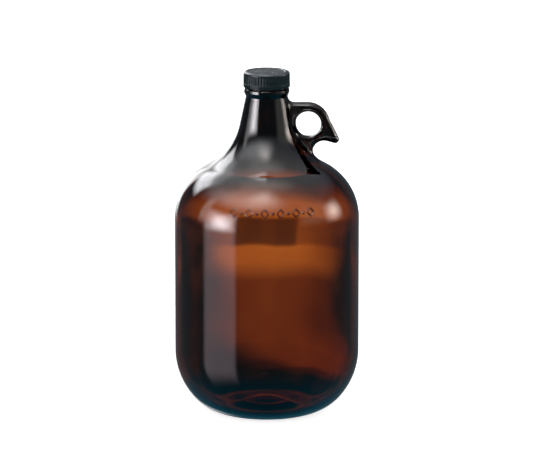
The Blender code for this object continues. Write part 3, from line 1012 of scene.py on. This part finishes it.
def foam():
    """Pale, matt closed-cell foam."""
    liner = Shader("liner_foam")
    cells = liner.noise(FOAM_CELLS, 3.0)
    liner.set("Base Color", liner.mix(cells, *FOAM_COLORS))
    liner.set("Roughness", liner.spread(cells, 0.3, 0.7, *FOAM_ROUGHNESS))
    liner.set("Normal", liner.bump(cells, FOAM_BUMP, FOAM_BUMP_STRENGTH))
    return liner.material


jug = make_jug(amber_glass())
cap = make_cap(charcoal_plastic())
liner = make_liner(foam())
for piece, body, node, slot in (
    (jug, "jug", "glass_jug", "amber_glass"),
    (cap, "cap", "screw_cap", "cap_plastic"),
    (liner, "lift", "liner", "liner_foam"),
):
    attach(piece, body)
    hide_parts(node)

# ---------------------------------------------------------------- stage objects, world and camera


class Glow(Shader):
    """A material that only glows, in colors that depend on the direction or height of a point."""

    def __init__(self, name):
        super().__init__(name)
        self.tree.nodes.remove(self.shader)
        self.emission = self.node("ShaderNodeEmission")
        self.tree.links.new(self.emission.outputs["Emission"], self.output.inputs["Surface"])
        self.material.cycles.emission_sampling = "NONE"
        self.x, self.y, self.z = self.node("ShaderNodeSeparateXYZ", {0: self.place()}).outputs

    def step(self, value, low, high):
        inputs = {"Value": value, "From Min": low, "From Max": high}
        return self.node("ShaderNodeMapRange", inputs, interpolation_type="SMOOTHSTEP").outputs["Result"]

    def near(self, value, middle, half, soft):
        """1 within half of middle, falling to 0 over 2 * soft round that edge."""
        off = self.math("ABSOLUTE", self.math("SUBTRACT", value, middle))
        return self.step(off, half + soft, half - soft)

    def add(self, total, share, color):
        tinted = self.node("ShaderNodeVectorMath", {0: color, "Scale": share}, operation="SCALE").outputs[0]
        if total is None:
            return tinted
        return self.node("ShaderNodeVectorMath", {0: total, 1: tinted}, operation="ADD").outputs[0]

    def ramp(self, value, low, high, stops):
        """Colors over a value, from stops of (value, color)."""
        share = self.spread(value, low, high)
        node = self.node("ShaderNodeValToRGB", {"Fac": share})
        while len(node.color_ramp.elements) < len(stops):
            node.color_ramp.elements.new(0.5)
        for element, (at, color) in zip(node.color_ramp.elements, stops):
            element.position = (at - low) / (high - low)
            element.color = (*color, 1.0)
        return node.outputs["Color"]


def seen_by(obj, camera=False, diffuse=False, glossy=False, transmission=False):
    obj.visible_camera, obj.visible_diffuse = camera, diffuse
    obj.visible_glossy, obj.visible_transmission = glossy, transmission
    obj.visible_shadow = False
    obj.visible_volume_scatter = False


def stage_object(name, bm, material):
    mesh = bpy.data.meshes.new(name)
    bm.to_mesh(mesh)
    bm.free()
    mesh.materials.append(material)
    obj = bpy.data.objects.new(name, mesh)
    bpy.context.scene.collection.objects.link(obj)
    return obj


def reflected_studio():
    """A wide sphere that only reflections see: softboxes and a pale ceiling, as soft windows in a dim room.
    Azimuth 0 is the front and 90 the handle's side."""
    glow = Glow("reflected_studio")
    azimuth = glow.math("DEGREES", glow.math("ARCTAN2", glow.x, glow.math("MULTIPLY", glow.y, -1.0)))
    height = glow.math("DIVIDE", glow.z, DOME_RADIUS)
    elevation = glow.math("DEGREES", glow.math("ARCSINE", height))
    total = glow.ramp(elevation, -90.0, 90.0, ROOM_STOPS)
    for center, half, soft, middle, half_up, soft_up, color in WINDOWS:
        across = glow.near(azimuth, center, half, soft)
        upward = glow.near(elevation, middle, half_up, soft_up)
        total = glow.add(total, glow.math("MULTIPLY", across, upward), color)
    glow.put(glow.emission.inputs["Color"], total)
    bm = bmesh.new()
    bmesh.ops.create_icosphere(bm, subdivisions=DOME_SUBDIVISIONS, radius=DOME_RADIUS)
    seen_by(stage_object("reflected_studio", bm, glow.material), glossy=True)


def backlight():
    """A tube round the jug that only shows through the glass: upright panels of light, brightest in a band
    at mid height, each behind the jug for someone who looks from the other side. The panels lean and fade
    towards their foot."""
    glow = Glow("backlight")
    angle = glow.math("DEGREES", glow.math("ARCTAN2", glow.x, glow.y))
    low = glow.step(glow.z, *PANEL_LEAN_Z)
    lean = glow.math("MULTIPLY", low, PANEL_LEAN_DEG)
    angle = glow.math("ADD", glow.math("SUBTRACT", angle, lean), 720.0)
    stops = [(z, (share,) * 3) for z, share in NARROW_STOPS]
    narrow = glow.ramp(glow.z, BACKLIGHT_LOW_Z, BACKLIGHT_HIGH_Z, stops)
    total = PANEL_SPILL
    for middle, strength in PANELS:
        turned = glow.math("SUBTRACT", angle, middle - 180.0)
        turned = glow.math("SUBTRACT", glow.math("MODULO", turned, 360.0), 180.0)
        shade = glow.math("MULTIPLY", glow.near(turned, *SHADE_ACROSS), glow.near(glow.z, *SHADE_UP))
        lit = glow.math("MULTIPLY_ADD", shade, -SHADE_DEPTH, 1.0)
        turned = glow.math("MULTIPLY", turned, narrow)
        right = glow.step(turned, PANEL_RIGHT_DEG[1], PANEL_RIGHT_DEG[0])
        left = glow.step(turned, PANEL_LEFT_DEG[1], PANEL_LEFT_DEG[0])
        share = glow.math("MULTIPLY", glow.math("MULTIPLY", right, left), strength)
        total = glow.math("ADD", glow.math("MULTIPLY", share, lit), total)
    drop = glow.math("MULTIPLY", low, glow.math("MAXIMUM", glow.x, 0.0))
    height = glow.math("MULTIPLY_ADD", drop, PANEL_FOOT_SLOPE, glow.z)
    elsewhere = glow.math("MULTIPLY", low, glow.step(glow.y, *MAIN_PANEL_Y))
    height = glow.math("MULTIPLY_ADD", elsewhere, SIDE_PANEL_DROP, height)
    color = glow.ramp(height, BACKLIGHT_LOW_Z, BACKLIGHT_HIGH_Z, BACKLIGHT_STOPS)
    glow.put(glow.emission.inputs["Color"], glow.add(None, total, color))
    bm = bmesh.new()
    depth = BACKLIGHT_HIGH_Z - BACKLIGHT_LOW_Z
    sizes = {"radius1": BACKLIGHT_RADIUS, "radius2": BACKLIGHT_RADIUS, "depth": depth}
    bmesh.ops.create_cone(bm, segments=BACKLIGHT_SIDES, cap_ends=True, **sizes)
    bmesh.ops.translate(bm, verts=bm.verts, vec=(0, 0, BACKLIGHT_LOW_Z + depth / 2))
    seen_by(stage_object("backlight", bm, glow.material), transmission=True)


def dark_shelf():
    """A black disc level with the foot of the neck, which only light through the glass meets. It keeps the
    backlight out of the neck, the finish and the handle."""
    color = (0.0, 0.0, 0.0, 1.0)
    black = Shader("dark_shelf", Base_Color=color, Roughness=1.0, Specular_IOR_Level=0.0)
    bm = bmesh.new()
    bmesh.ops.create_circle(bm, cap_ends=True, segments=SHELF_SIDES, radius=BACKLIGHT_RADIUS)
    bmesh.ops.translate(bm, verts=bm.verts, vec=(0, 0, SHELF_Z))
    seen_by(stage_object("dark_shelf", bm, black.material), transmission=True)


def white_world():
    world = bpy.data.worlds.new("studio")
    bpy.context.scene.world = world
    world.use_nodes = True
    world.node_tree.nodes["Background"].inputs["Color"].default_value = WORLD_COLOR
    world.node_tree.nodes["Background"].inputs["Strength"].default_value = 1.0


def pale_floor():
    """The floor is a little bright by itself, so that it stays pale under the jug."""
    finish = {"Roughness": FLOOR_ROUGHNESS, "Emission_Strength": FLOOR_GLOW}
    pale = Shader("pale_floor", Base_Color=FLOOR_COLOR, **finish)
    pale.set("Emission Color", (1.0, 1.0, 1.0, 1.0))
    bm = bmesh.new()
    bmesh.ops.create_grid(bm, x_segments=1, y_segments=1, size=FLOOR_HALF)
    seen_by(stage_object("floor", bm, pale.material), camera=True, diffuse=True)


def front_camera():
    """A long lens in front of the jug that looks a little down at it."""
    data = bpy.data.cameras.new("camera")
    data.lens = CAMERA_LENS
    data.clip_end = CAMERA_REACH
    camera = bpy.data.objects.new("camera", data)
    bpy.context.scene.collection.objects.link(camera)
    tilt = math.radians(CAMERA_ELEVATION_DEG)
    camera.location = CAMERA_AIM + Vector((0.0, -math.cos(tilt), math.sin(tilt))) * CAMERA_DISTANCE
    camera.rotation_euler = (math.radians(90.0) - tilt, 0.0, 0.0)
    bpy.context.scene.camera = camera


reflected_studio()
backlight()
dark_shelf()
white_world()
pale_floor()
front_camera()
bpy.context.scene.view_settings.view_transform = "Standard"
